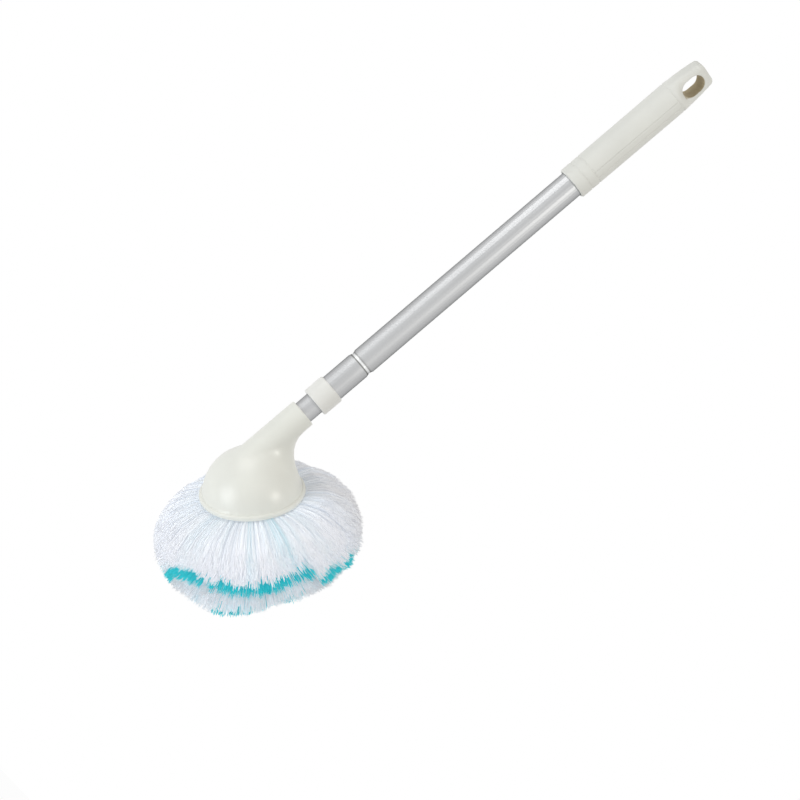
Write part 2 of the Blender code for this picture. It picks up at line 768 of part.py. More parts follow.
def lip_outline():
    """Bead round the rim, in the head's own axes."""
    top_round = [(LIP_RADIUS - LIP_ROUND, LIP_HEIGHT - LIP_ROUND), 0.0, math.pi / 2]
    bottom_round = [(LIP_RADIUS - LIP_ROUND, LIP_ROUND), math.pi / 2, math.pi]
    outline = [(seat_radius - SINK, LIP_HEIGHT)]
    for (radius, height), first, last in (top_round, bottom_round):
        for i in range(LIP_ROUND_STEPS + 1):
            turn = first + (last - first) * i / LIP_ROUND_STEPS
            outline.append((radius + LIP_ROUND * math.sin(turn), height + LIP_ROUND * math.cos(turn)))
    outline.append((seat_radius - SINK, 0))
    return outline


def make_head_shell(parts, cutters, head, pole, material):
    """Neck and dome in one moulding, with a bead lip, a seat for the tuft block and a tube socket."""
    to_head = head_matrix().inverted()
    columns = [head_column(2 * math.pi * i / HEAD_COLUMNS) for i in range(HEAD_COLUMNS)]
    rings = [[to_head @ column[row] for column in columns] for row in range(len(columns[0]))]
    shell = lofted("head_shell", rings, parts, head, capped=False)
    wall = shell.modifiers.new("wall", "SOLIDIFY")
    wall.thickness = SHELL_WALL
    wall.offset = -1
    wall.use_even_offset = True
    edge = shell.modifiers.new("neck_edge", "BEVEL")
    edge.width = NECK_END_ROUND
    edge.segments = 2
    edge.limit_method = "ANGLE"
    edge.angle_limit = math.radians(60)

    join(shell, turned("rim_lip", lip_outline(), cutters, head, steps=HEAD_COLUMNS))
    ledge_bottom = SEAT_DEPTH - SINK
    join(shell, turned("seat_ledge", [
        (seat_radius + SINK, SEAT_DEPTH + LEDGE_HEIGHT),
        (seat_radius + SINK, ledge_bottom),
        (seat_radius - LEDGE_WIDTH, ledge_bottom),
        (seat_radius - LEDGE_WIDTH, SEAT_DEPTH + SINK),
    ], cutters, head, steps=HEAD_COLUMNS))
    core_radius = neck_radius - SOCKET_CORE_INSET
    core_top = neck_end - SOCKET_CORE_START
    core_bottom = socket_bottom - SOCKET_FLOOR
    join(shell, turned("socket_core", [
        (0, core_top),
        (core_radius, core_top),
        (core_radius, core_bottom),
        (0, core_bottom),
    ], cutters, pole, steps=HEAD_COLUMNS, solid=True))
    cut(shell, turned("seat_cutter", [
        (0, SEAT_DEPTH),
        (seat_radius, SEAT_DEPTH),
        (seat_radius, -OVERRUN),
        (0, -OVERRUN),
    ], cutters, head, steps=HEAD_COLUMNS, solid=True))
    cut(shell, turned("socket_cutter", [
        (0, neck_end + OVERRUN),
        (socket_radius, neck_end + OVERRUN),
        (socket_radius, socket_bottom),
        (SOCKET_VENT_RADIUS, socket_bottom),
        (SOCKET_VENT_RADIUS, core_bottom - OVERRUN),
        (0, core_bottom - OVERRUN),
    ], cutters, pole, solid=True))
    return settle(shell, material)


def head_matrix():
    """Place and lean of the head's own axes: Z from the bristles to the dome's top, X to the neck."""
    return Matrix.Translation((DOME_OFFSET, 0, dome_height)) @ Matrix.Rotation(-HEAD_TILT, 4, "Y")


def make_tuft_block(parts, head, material):
    """Domed block with a shallow recess behind, whose edge sits under the dome's ledge."""
    top = SEAT_DEPTH - GAP
    under_radius = base_radius - SLICE_THICKNESS - GAP
    outline = [
        (0, top - BLOCK_RECESS_DEPTH),
        (BLOCK_RECESS_RADIUS, top - BLOCK_RECESS_DEPTH),
        (BLOCK_RECESS_RADIUS, top),
        (block_radius, top),
        (block_radius, BASE_EDGE_RISE + SLICE_THICKNESS),
    ]
    outline += arc(base_centre, under_radius, base_edge_turn, 0, BLOCK_ARC_STEPS)
    block = turned("tuft_block", outline, parts, head, steps=SLICE_STEPS, solid=True)
    return settle(block, material)


def row_turn(row):
    """Polar turn of a row's roots on the skin's sphere, from straight down."""
    return base_edge_turn * ROW_ROOT_SHARES[row]


def slice_outline(first_row, last_row):
    """Outline of the skin between two rows' outer and inner bounds, or to the middle for the last row."""
    half_gap = GAP / base_radius / 2
    outer_turn = base_edge_turn
    if first_row > 0:
        outer_turn = (row_turn(first_row - 1) + row_turn(first_row)) / 2 - half_gap
    steps = last_row - first_row + 1
    top_radius = base_radius - SLICE_THICKNESS
    if last_row == len(ROW_COUNTS) - 1:
        return (arc(base_centre, top_radius, 0, outer_turn, steps)
                + arc(base_centre, base_radius, outer_turn, 0, steps))
    inner_turn = (row_turn(last_row) + row_turn(last_row + 1)) / 2 + half_gap
    return (arc(base_centre, top_radius, inner_turn, outer_turn, steps)
            + arc(base_centre, base_radius, outer_turn, inner_turn, steps))


def strand_line(row, heading, stretch):
    """Centre line of one strand as a start, a bend and a tip, in the XZ plane and before the lean."""
    turn = row_turn(row)
    normal = Vector((math.sin(turn), 0, -math.cos(turn)))
    root = Vector((0, 0, base_centre)) + normal * (base_radius - STRAND_ROOT_DEPTH)
    lift = SPREAD_LIFT * ROW_LIFT_SHARES[row] * (1 + math.cos(heading - SPREAD_LIFT_HEADING)) / 2
    tip_turn = math.radians(ROW_TIP_TURNS[row]) - lift
    tip = Vector((
        SPREAD_RADIUS * math.cos(tip_turn),
        0,
        -SPREAD_DROP - SPREAD_HALF_DEPTH * math.sin(tip_turn),
    ))
    tip = root + (tip - root) * stretch
    chord = tip - root
    lead = (normal + chord.normalized()).normalized()
    bend = root + lead * chord.length * STRAND_REACH_SHARE
    return root, bend, tip


def add_strand(points, faces, row, heading, stretch):
    """Append one strand: rings of three points at the root, the middle and the tip."""
    root, bend, tip = strand_line(row, heading, stretch)
    spin = Matrix.Rotation(heading, 3, "Z")
    lean_axis = Vector((-math.sin(SPREAD_LEAN_HEADING), math.cos(SPREAD_LEAN_HEADING), 0))
    lean = Matrix.Rotation(-SPREAD_LEAN, 3, lean_axis)
    root = spin @ root
    bend = lean @ spin @ bend
    tip = lean @ spin @ tip
    across = spin @ Vector((0, 1, 0))
    first = len(points)
    for share in STRAND_STATIONS:
        rest = 1 - share
        place = root * rest ** 2 + bend * 2 * rest * share + tip * share ** 2
        onwards = ((bend - root) * rest + (tip - bend) * share).normalized()
        outwards = across.cross(onwards).normalized()
        radius = STRAND_ROOT_RADIUS + (STRAND_TIP_RADIUS - STRAND_ROOT_RADIUS) * share
        for i in range(STRAND_SIDES):
            turn = 2 * math.pi * i / STRAND_SIDES
            points.append(place + (across * math.sin(turn) + outwards * math.cos(turn)) * radius)
    for station in range(len(STRAND_STATIONS) - 1):
        start = first + station * STRAND_SIDES
        for i in range(STRAND_SIDES):
            low = start + i
            beside = start + (i + 1) % STRAND_SIDES
            faces.append((low, beside, beside + STRAND_SIDES, low + STRAND_SIDES))
    last = first + (len(STRAND_STATIONS) - 1) * STRAND_SIDES
    faces.append(tuple(first + i for i in range(STRAND_SIDES)))
    faces.append(tuple(last + i for i in range(STRAND_SIDES)))


def make_bristles(parts, cutters, head, name, first_row, last_row, material):
    """A slice of the block's skin with its rows of strands fused to it."""
    chance = random.Random(BRISTLE_SEED + first_row)
    solid = last_row == len(ROW_COUNTS) - 1
    piece = turned(name, slice_outline(first_row, last_row), parts, head, steps=SLICE_STEPS, solid=solid)
    points = []
    faces = []
    for row in range(first_row, last_row + 1):
        count = ROW_COUNTS[row]
        for i in range(count):
            heading = 2 * math.pi * (i + row % 2 / 2) / count
            stretch = 1 + STRAND_LENGTH_SPREAD_SHARE * chance.uniform(-1, 1)
            add_strand(points, faces, row, heading, stretch)
    mesh = bpy.data.meshes.new(name + "_strands")
    mesh.from_pydata(points, [], faces)
    face_outwards(mesh)
    join(piece, new_object(name + "_strands", mesh, cutters, head))
    return settle(piece, material)


def build_brush():
    start_empty_scene()
    parts = new_collection("bathroom_scrub_brush")
    cutters = new_collection("cutters")

    grip_plastic = new_material("grip_plastic", (0.74, 0.745, 0.71), 0.45)
    white_plastic = new_material("white_plastic", (0.78, 0.775, 0.74), 0.32)
    inner_plastic = new_material("inner_plastic", (0.55, 0.55, 0.53), 0.50)
    satin_aluminium = new_material("satin_aluminium", (0.72, 0.73, 0.74), 0.30, 1.0)
    zinc_steel = new_material("zinc_steel", (0.62, 0.62, 0.60), 0.35, 1.0)
    bristle_colours = {
        "white": new_material("white_bristle", (0.80, 0.83, 0.90), 0.40),
        "teal": new_material("teal_bristle", (0.02, 0.42, 0.47), 0.40),
    }

    handle = new_empty("handle", parts, Matrix.Identity(4))
    inner_pole = new_empty("inner_pole", parts, Matrix.Identity(4))
    head = new_empty("head", parts, head_matrix(), inner_pole)
    bpy.context.view_layer.update()

    make_grip(parts, cutters, handle, grip_plastic)
    make_outer_tube(parts, handle, satin_aluminium)
    make_guide_collar(parts, handle, white_plastic)

    make_inner_tube(parts, inner_pole, satin_aluminium)
    make_tube_plug(parts, inner_pole, inner_plastic)
    make_lock_core(parts, cutters, inner_pole, inner_plastic)
    make_lock_ring(parts, cutters, inner_pole, inner_plastic)
    make_slide_guide(parts, handle, inner_plastic)
    make_lock_screw(parts, inner_pole, zinc_steel)

    make_head_shell(parts, cutters, head, inner_pole, white_plastic)
    make_tuft_block(parts, head, inner_plastic)
    for name, colour, first_row, last_row in BRISTLE_NODES:
        make_bristles(parts, cutters, head, name, first_row, last_row, bristle_colours[colour])


build_brush()
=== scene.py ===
from collections import namedtuple
import math

import bmesh
import bpy
import numpy as np
from mathutils import Matrix, Vector


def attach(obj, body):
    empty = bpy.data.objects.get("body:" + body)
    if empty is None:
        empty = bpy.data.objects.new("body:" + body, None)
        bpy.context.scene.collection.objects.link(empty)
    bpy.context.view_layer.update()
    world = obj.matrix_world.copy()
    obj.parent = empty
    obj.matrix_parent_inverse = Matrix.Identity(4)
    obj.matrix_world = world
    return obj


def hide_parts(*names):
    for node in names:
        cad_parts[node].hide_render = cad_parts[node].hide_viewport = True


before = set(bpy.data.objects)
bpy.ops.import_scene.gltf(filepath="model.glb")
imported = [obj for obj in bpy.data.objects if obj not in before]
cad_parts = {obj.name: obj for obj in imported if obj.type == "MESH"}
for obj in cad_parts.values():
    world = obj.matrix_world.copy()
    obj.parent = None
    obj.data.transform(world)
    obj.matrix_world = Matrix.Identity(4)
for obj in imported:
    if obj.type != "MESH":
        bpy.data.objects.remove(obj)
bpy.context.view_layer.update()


# Colours
def linear(red, green, blue):
    """A colour as written in the picture, 0 to 255, in the linear values that the shaders take."""
    def one(value):
        value = value / 255
        return value / 12.92 if value <= 0.04045 else ((value + 0.055) / 1.055) ** 2.4
    return (one(red), one(green), one(blue), 1.0)


def grey(level):
    return (level, level, level, 1.0)


def tint(colour, share):
    return tuple(min(1.0, c * share) for c in colour[:3]) + (1.0,)


WHITE = grey(1.0)
BLACK = grey(0.0)


# Objects and nodes
def add_object(name, data):
    added = bpy.data.objects.new(name, data)
    bpy.context.scene.collection.objects.link(added)
    return added


def new_material(name):
    material = bpy.data.materials.new(name)
    material.use_nodes = True
    nodes = material.node_tree.nodes
    shader = nodes["Principled BSDF"]
    return material, nodes, material.node_tree.links, shader


def feed(links, source, socket):
    """Give a socket another node's output, or a plain value."""
    if isinstance(source, bpy.types.NodeSocket):
        links.new(source, socket)
    else:
        socket.default_value = source


def calculate(nodes, links, operation, first, second=None):
    node = nodes.new("ShaderNodeMath")
    node.operation = operation
    feed(links, first, node.inputs[0])
    if second is not None:
        feed(links, second, node.inputs[1])
    return node.outputs["Value"]


def mix(nodes, links, factor, under, over, blend_type="MIX"):
    node = nodes.new("ShaderNodeMix")
    node.data_type = "RGBA"
    node.blend_type = blend_type
    feed(links, factor, node.inputs["Factor"])
    feed(links, under, node.inputs["A"])
    feed(links, over, node.inputs["B"])
    return node.outputs["Result"]


def noise(nodes, links, vector, scale, detail=3.0, roughness=0.5):
    texture = nodes.new("ShaderNodeTexNoise")
    texture.inputs["Scale"].default_value = scale
    texture.inputs["Detail"].default_value = detail
    texture.inputs["Roughness"].default_value = roughness
    links.new(vector, texture.inputs["Vector"])
    return texture.outputs["Fac"]


def place(nodes, links, stretch=(1.0, 1.0, 1.0)):
    coordinates = nodes.new("ShaderNodeTexCoord")
    mapping = nodes.new("ShaderNodeMapping")
    mapping.inputs["Scale"].default_value = stretch
    links.new(coordinates.outputs["Object"], mapping.inputs["Vector"])
    return mapping.outputs["Vector"]


def component(nodes, links, vector, axis):
    parts = nodes.new("ShaderNodeSeparateXYZ")
    links.new(vector, parts.inputs["Vector"])
    return parts.outputs[axis]


def ramp(nodes, links, factor, stops):
    band = nodes.new("ShaderNodeValToRGB")
    elements = band.color_ramp.elements
    while len(elements) < len(stops):
        elements.new(0.5)
    for element, (position, colour) in zip(elements, stops):
        element.position = position
        element.color = colour
    links.new(factor, band.inputs["Fac"])
    return band.outputs["Color"]


def clouded(nodes, links, clouds, colour, darkest, lightest):
    """Colour in soft patches, between two shares of its brightness."""
    return ramp(nodes, links, clouds, [
        (0.3, tint(colour, darkest)),
        (0.7, tint(colour, lightest)),
    ])


def span(nodes, links, factor, low, high):
    scale = nodes.new("ShaderNodeMapRange")
    scale.inputs["To Min"].default_value = low
    scale.inputs["To Max"].default_value = high
    links.new(factor, scale.inputs["Value"])
    return scale.outputs["Result"]


def bump(nodes, links, shader, height, strength, distance, under=None):
    relief = nodes.new("ShaderNodeBump")
    relief.inputs["Strength"].default_value = strength
    relief.inputs["Distance"].default_value = distance
    links.new(height, relief.inputs["Height"])
    if under is not None:
        links.new(under, relief.inputs["Normal"])
    links.new(relief.outputs["Normal"], shader.inputs["Normal"])
    return relief.outputs["Normal"]


# Moulded plastic
HOLE_EDGE = 0.5
HOLE_FADE = (0.54, 0.60)
WALL_FADE = (0.35, 0.75)


def painted_hole_shade(nodes, links, tone, colour, half_width, half_height):
    """Tone with painted brown shade on the wall of an oval hole along Y, at the origin."""
    reach = nodes.new("ShaderNodeVectorMath")
    reach.operation = "LENGTH"
    stretch = (HOLE_EDGE / half_width, 0.0, HOLE_EDGE / half_height)
    links.new(place(nodes, links, stretch), reach.inputs[0])
    inside = ramp(nodes, links, reach.outputs["Value"], list(zip(HOLE_FADE, (WHITE, BLACK))))
    coordinates = nodes.new("ShaderNodeTexCoord")
    along_hole = component(nodes, links, coordinates.outputs["Normal"], "Y")
    facing = calculate(nodes, links, "ABSOLUTE", along_hole)
    upright_wall = ramp(nodes, links, facing, list(zip(WALL_FADE, (WHITE, BLACK))))
    both = calculate(nodes, links, "MULTIPLY", inside, upright_wall)
    return mix(nodes, links, both, tone, colour)


# Scales of its patterns, in waves per metre, and how much each one changes
PATCH_SCALE = 28.0
PATCH_TINTS = (0.965, 1.02)
SCUFF_SCALE = 160.0
SCUFF_ROUGHNESS = 0.06
WAVE_SCALE = 45.0
WAVE_STRENGTH = 0.35
GRAIN_STRENGTH = 0.5


def moulded_plastic(
        name, colour, roughness, grain_size, grain_depth, wave_depth, gloss=0.5, hole=None):
    """Moulded plastic: slight patches of tone, a fine grain and a long soft unevenness."""
    material, nodes, links, shader = new_material(name)
    where = place(nodes, links)
    patches = noise(nodes, links, where, PATCH_SCALE)
    tone = clouded(nodes, links, patches, colour, *PATCH_TINTS)
    # Painted brown shade on the wall of the hanging hole
    if hole is not None:
        tone = painted_hole_shade(nodes, links, tone, *hole)
    links.new(tone, shader.inputs["Base Color"])
    scuffs = noise(nodes, links, where, SCUFF_SCALE, detail=4.0, roughness=0.6)
    scuffed = span(
        nodes, links, scuffs, roughness - SCUFF_ROUGHNESS, roughness + SCUFF_ROUGHNESS)
    links.new(scuffed, shader.inputs["Roughness"])
    shader.inputs["Specular IOR Level"].default_value = gloss
    waves = noise(nodes, links, where, WAVE_SCALE, detail=1.0)
    soft = bump(nodes, links, shader, waves, WAVE_STRENGTH, wave_depth)
    grain = noise(nodes, links, where, 1.0 / grain_size, detail=2.0)
    bump(nodes, links, shader, grain, GRAIN_STRENGTH, grain_depth, under=soft)
    return material


# Metal
def painted_crimp_light(nodes, links, tone, height, half_length, bright, dark):
    """Tone with a painted highlight along the floor of a rolled groove round the pole, and painted
    shade beside it.
    """
    across = nodes.new("ShaderNodeMapRange")
    across.inputs["From Min"].default_value = height - half_length
    across.inputs["From Max"].default_value = height + half_length
    up_pole = component(nodes, links, place(nodes, links), "Z")
    links.new(up_pole, across.inputs["Value"])
    # Painted highlight in the middle of the groove, painted shade at its sides
    colour = ramp(nodes, links, across.outputs["Result"], [
        (0.0, dark),
        (0.28, dark),
        (0.40, bright),
        (0.58, bright),
        (0.72, dark),
        (1.0, dark),
    ])
    share = ramp(nodes, links, across.outputs["Result"], [
        (0.0, BLACK),
        (0.12, BLACK),
        (0.22, WHITE),
        (0.62, WHITE),
        (0.76, grey(0.45)),
        (0.90, BLACK),
    ])
    return mix(nodes, links, share, tone, colour)


# Stretch of its patterns, across and along the pole, and how much each one changes
LINE_STRETCH = (2600.0, 2600.0, 22.0)
LINE_ROUGHNESS = (-0.03, 0.05)
LINE_STRENGTH = 0.03
CLOUD_STRETCH = (60.0, 60.0, 9.0)
CLOUD_TINTS = (0.96, 1.03)


def satin_metal(name, colour, edge, roughness, lines_depth, metallic=1.0, crimp=None):
    """Satin metal: fine lines that run along the pole, and a darker sheen at its edges."""
    material, nodes, links, shader = new_material(name)
    line_place = place(nodes, links, LINE_STRETCH)
    lines = noise(nodes, links, line_place, 1.0, detail=3.0, roughness=0.6)
    clouds = noise(nodes, links, place(nodes, links, CLOUD_STRETCH), 1.0, detail=2.0)
    tone = clouded(nodes, links, clouds, colour, *CLOUD_TINTS)
    # At the crimp, a painted highlight and painted shade
    if crimp is not None:
        tone = painted_crimp_light(nodes, links, tone, *crimp)
    links.new(tone, shader.inputs["Base Color"])
    lowest, highest = (roughness + change for change in LINE_ROUGHNESS)
    links.new(span(nodes, links, lines, lowest, highest), shader.inputs["Roughness"])
    shader.inputs["Metallic"].default_value = metallic
    shader.inputs["Specular Tint"].default_value = edge
    bump(nodes, links, shader, lines, LINE_STRENGTH, lines_depth)
    return material


# Filaments: the strand map holds a strand's own tone as X and the share of its length as Y
STRAND_MIDDLE = 0.45
# The grey tone is where painted shade lands; the teal-tinted one is where teal strands beneath show
# through
STRAND_TONES = (
    (0.0, (0.845, 0.84, 0.835, 1.0)),
    (0.3, (0.92, 0.94, 0.955, 1.0)),
    (0.6, WHITE),
    (1.0, (0.72, 0.895, 0.93, 1.0)),
)
GLINT_SCALE = 400.0
GLINT_ROUGHNESS = 0.08
STRAND_GLOSS = 0.20
SHEEN_ROUGHNESS = 0.5


def filament(name, root, middle, tip, roughness, sheen, glow):
    """Nylon filaments: tone along the strand and from strand to strand, by the strand map, and a
    painted glow.
    """
    material, nodes, links, shader = new_material(name)
    strand = nodes.new("ShaderNodeUVMap")
    strand.uv_map = "strand"
    height = component(nodes, links, strand.outputs["UV"], "Y")
    along = ramp(nodes, links, height, [(0.0, root), (STRAND_MIDDLE, middle), (1.0, tip)])
    number = component(nodes, links, strand.outputs["UV"], "X")
    each = ramp(nodes, links, number, STRAND_TONES)
    tone = mix(nodes, links, 1.0, along, each, "MULTIPLY")
    links.new(tone, shader.inputs["Base Color"])
    glint = noise(nodes, links, place(nodes, links), GLINT_SCALE, detail=2.0)
    glinting = span(nodes, links, glint, roughness - GLINT_ROUGHNESS, roughness + GLINT_ROUGHNESS)
    links.new(glinting, shader.inputs["Roughness"])
    shader.inputs["Specular IOR Level"].default_value = STRAND_GLOSS
    shader.inputs["Sheen Weight"].default_value = sheen
    shader.inputs["Sheen Roughness"].default_value = SHEEN_ROUGHNESS
    # Emission is painted light: a glow that stands in for light scattered among the strands
    links.new(tone, shader.inputs["Emission Color"])
    shader.inputs["Emission Strength"].default_value = glow
    return material


# The brush's own materials
HOLE_HALF_WIDTH = 0.0085
HOLE_HALF_HEIGHT = 0.0114
# The grip's hanging hole has painted brown shade on its wall
grip_plastic = moulded_plastic(
    "grip_plastic_look", linear(226, 227, 223), roughness=0.52,
    grain_size=0.0005, grain_depth=0.00006, wave_depth=0.0004, gloss=0.35,
    hole=(linear(194, 181, 150), HOLE_HALF_WIDTH, HOLE_HALF_HEIGHT))
dome_plastic = moulded_plastic(
    "dome_plastic_look", linear(230, 231, 225), roughness=0.33,
    grain_size=0.0008, grain_depth=0.00002, wave_depth=0.0005)
collar_plastic = moulded_plastic(
    "collar_plastic_look", linear(232, 232, 229), roughness=0.36,
    grain_size=0.0006, grain_depth=0.00003, wave_depth=0.0003)
inner_plastic = moulded_plastic(
    "inner_plastic_look", linear(196, 196, 192), roughness=0.50,
    grain_size=0.0005, grain_depth=0.00004, wave_depth=0.0003)

CRIMP_HEIGHT = -0.3855
CRIMP_HALF_LENGTH = 0.0036
ALUMINIUM = {
    "colour": linear(191, 192, 193),
    "edge": linear(4, 4, 4),
    "roughness": 0.44,
    "lines_depth": 0.00002,
    "metallic": 0.88,
}
aluminium = satin_metal("satin_aluminium_look", **ALUMINIUM)
# Aluminium with a painted highlight and painted shade at the crimp
crimped_aluminium = satin_metal(
    "crimped_aluminium_look", **ALUMINIUM,
    crimp=(CRIMP_HEIGHT, CRIMP_HALF_LENGTH, linear(232, 233, 233), linear(128, 128, 126)))
plated_steel = satin_metal(
    "plated_steel_look", linear(203, 203, 200), edge=linear(60, 60, 60), roughness=0.42,
    lines_depth=0.00002)

# Both filament looks glow a little: painted light
white_filament = filament(
    "white_filament_look", root=linear(241, 246, 252), middle=linear(246, 249, 254),
    tip=linear(248, 249, 254), roughness=0.6, sheen=0.6, glow=0.19)
teal_filament = filament(
    "teal_filament_look", root=linear(84, 214, 222), middle=linear(70, 210, 219),
    tip=linear(62, 206, 215), roughness=0.6, sheen=0.1, glow=0.26)

looks = {
    "grip": grip_plastic,
    "outer_tube": crimped_aluminium,
    "guide_collar": collar_plastic,
    "inner_tube": aluminium,
    "tube_plug": inner_plastic,
    "lock_core": inner_plastic,
    "lock_ring": inner_plastic,
    "slide_guide": inner_plastic,
    "lock_screw": plated_steel,
    "head_shell": dome_plastic,
    "tuft_block": inner_plastic,
}
for node_name, material in looks.items():
    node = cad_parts[node_name]
    node.data.materials.clear()
    node.data.materials.append(material)


# The moulded and drawn pieces in view, as the node's own form with its round faces shaded smoothly
WELD_DISTANCE = 0.00002
SHARP_ANGLE = math.radians(32)
CRIMP_ANGLE = math.radians(15)  # between the tube's facets, 11 degrees, and the crimp's flanks, 18


def smooth_form(node_name, body, sharp_angle=SHARP_ANGLE):
    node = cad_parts[node_name]
    shape = bmesh.new()
    shape.from_mesh(node.data)
    shape.transform(node.matrix_world)
    bmesh.ops.remove_doubles(shape, verts=shape.verts, dist=WELD_DISTANCE)
    mesh = bpy.data.meshes.new(node_name + "_form")
    shape.to_mesh(mesh)
    shape.free()
    mesh.materials.clear()
    mesh.materials.append(looks[node_name])
    mesh.shade_smooth()
    mesh.set_sharp_from_angle(angle=sharp_angle)
    piece = add_object(node_name + "_form", mesh)
    weighted = piece.modifiers.new("even_shading", "WEIGHTED_NORMAL")
    weighted.keep_sharp = True
    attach(piece, body)
    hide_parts(node_name)


smooth_form("grip", "handle")
smooth_form("outer_tube", "handle", CRIMP_ANGLE)
smooth_form("guide_collar", "handle")
smooth_form("inner_tube", "inner_pole")
smooth_form("head_shell", "inner_pole")


# Head's own axes, as in the part's source: Z from the bristles to the dome's top, X to the neck
HEAD_TILT = math.radians(60)
DOME_CENTRE = Vector((0.0326, 0.0, -0.5340))
to_frame = Matrix.Translation(DOME_CENTRE) @ Matrix.Rotation(-HEAD_TILT, 4, "Y")

# The ball whose underside holds the filaments' roots
BASE_RADIUS = 0.0541
BASE_CENTRE = 0.0347
BASE_EDGE_RADIUS = 0.0420
BASE_EDGE_TURN = math.asin(BASE_EDGE_RADIUS / BASE_RADIUS)
ROOT_DEPTH = 0.0010

# The flattened ball on which the tips of the even fan lie, where turns count down from its widest
# place. The outer rows are lifted, most at the lift's heading, and the whole fan leans
SPREAD_RADIUS = 0.0942
SPREAD_HALF_DEPTH = 0.0540
SPREAD_DROP = 0.0398
SPREAD_LIFT = math.radians(13)
SPREAD_LIFT_HEADING = math.radians(33)
SPREAD_LEAN = math.radians(4)
SPREAD_LEAN_HEADING = math.radians(-41)

# One filament: shares of its length, its radius at each, the sides of its section, the share at
# which it bends, and how an arched row bends farther out and more steeply
STATIONS = (0.0, 0.30, 0.65, 0.99, 1.0)
STATION_RADII = (0.00024, 0.00027, 0.00028, 0.00028, 0.00010)
SIDES = 3
BEND_SHARE = 0.45
ARCH_BEND = 0.6
ARCH_LEAD = 4

# Places of the tufts and, at tips and roots, of the filaments in a tuft, as shares of the tufts'
# spacing. No filament is farther out in its tuft than TUFT_LIMIT standard deviations
TUFT_SHIFT = 0.16
TIP_WIDTH = 0.31
ROOT_WIDTH = 0.26
ROOT_TURN = math.radians(0.9)
TUFT_LIMIT = 1.9

# Spread of the tips over a row's band, as shares of the band
BAND_MIDDLE = 0.5
BAND_WIDTH = 0.26
BAND_TUFT_SHIFT = 0.09
BAND_STRAND_SHIFT = 0.05

# Spread of the lengths, as shares of a length, and of the strands' bends and sections, in radians
TUFT_LENGTH = 0.010
STRAND_LENGTH = 0.012
RAGGED_LENGTH = 0.055
SWAY = 0.012
SPIN = 0.3

# Spread of the tones, from 0 to 1
TONE_MIDDLE = 0.45
TUFT_TONE = 0.12
STRAND_TONE = 0.09
PAINTED_SHADE_TONE = 0.42

# Tables by heading round the head, in degrees

# Where the tips of the two teal rings lie, in degrees below the widest turn
OUTER_RING = (
    (-180, 17), (-173, 4), (-160, -4), (-150, -3), (-140, 2), (-130, 3), (-120, 6), (-110, 6),
    (-100, 5), (-88, 1), (-82, 1), (-78, 21), (-70, 21), (-60, 18), (-50, 20), (-42, 27),
    (0, 24), (60, 16), (150, 18), (170, 19),
)
INNER_RING = (
    (-180, 54), (-156, 52), (-147, 40), (-144, 38.5), (-131, 38.5), (-127, 41), (-119, 56),
    (-100, 58), (0, 52),
)

# Longer and shorter stretches of the fan: heading, turn, reach of each, and share of length added
SWELLS = (
    (-144, 38, 44, 26, 0.079),
    (-120, 44, 10, 15, 0.012),
    (-104, 44, 11, 20, -0.056),
    (-55, 26, 9, 18, 0.006),
    (-175, 0, 16, 20, -0.030),
)

# The uneven fringe behind the neck: share of length added, above the turn FRINGE_TURN
FRINGE_TURN = 15
FRINGE = (
    (-32, 0), (-26, -0.03), (-19.5, -0.03), (-19, -0.10), (-12, -0.030), (-11.5, -0.090),
    (-5, 0.01), (-4.5, -0.060), (2, 0.040), (2.5, -0.030), (10, 0.015), (10.5, -0.040),
    (17, 0.010), (17.5, -0.030), (24, -0.020), (25, -0.075), (31, -0.075), (33, -0.020),
    (42, -0.055), (60, -0.02), (105, -0.050), (118, -0.030), (126, 0),
)

# Where neighbouring tufts differ most in length, and how many of them share one length
RAGGED_HEADING = math.radians(15)
RAGGED_REACH = math.radians(38)
RAGGED_TUFTS = 2

# Painted shade of the strands by heading, from -1, grey on the shaded side of the fan, to 1, a teal
# tint where the teal strands beneath show through
PAINTED_SHADES = (
    (-180, 0.05), (-172, 0.1), (-159, 0.45), (-146, 0.05), (-126, 0.1), (-118, 0.55),
    (-111, 0.1), (-102, 0.2), (-91, 0.95), (-80, 0.2), (-70, 0.3), (-57, 0.1), (-48, -0.15),
    (-40, -0.7), (-32, -0.9), (55, -0.9), (120, -0.1), (150, 0.0),
)

# Where the outer teal ring has a gap, and its reach to each side
RING_GAPS = ((-145, 2.0), (-78.5, 3.6))

# Rows of tufts, from the rim to the middle. The outer and inner edge of a row's band of tips are
# each a turn in degrees and shares of the turns of the two rings
Row = namedtuple("Row", "tufts filaments root_share outer_edge inner_edge lift arch shade node")
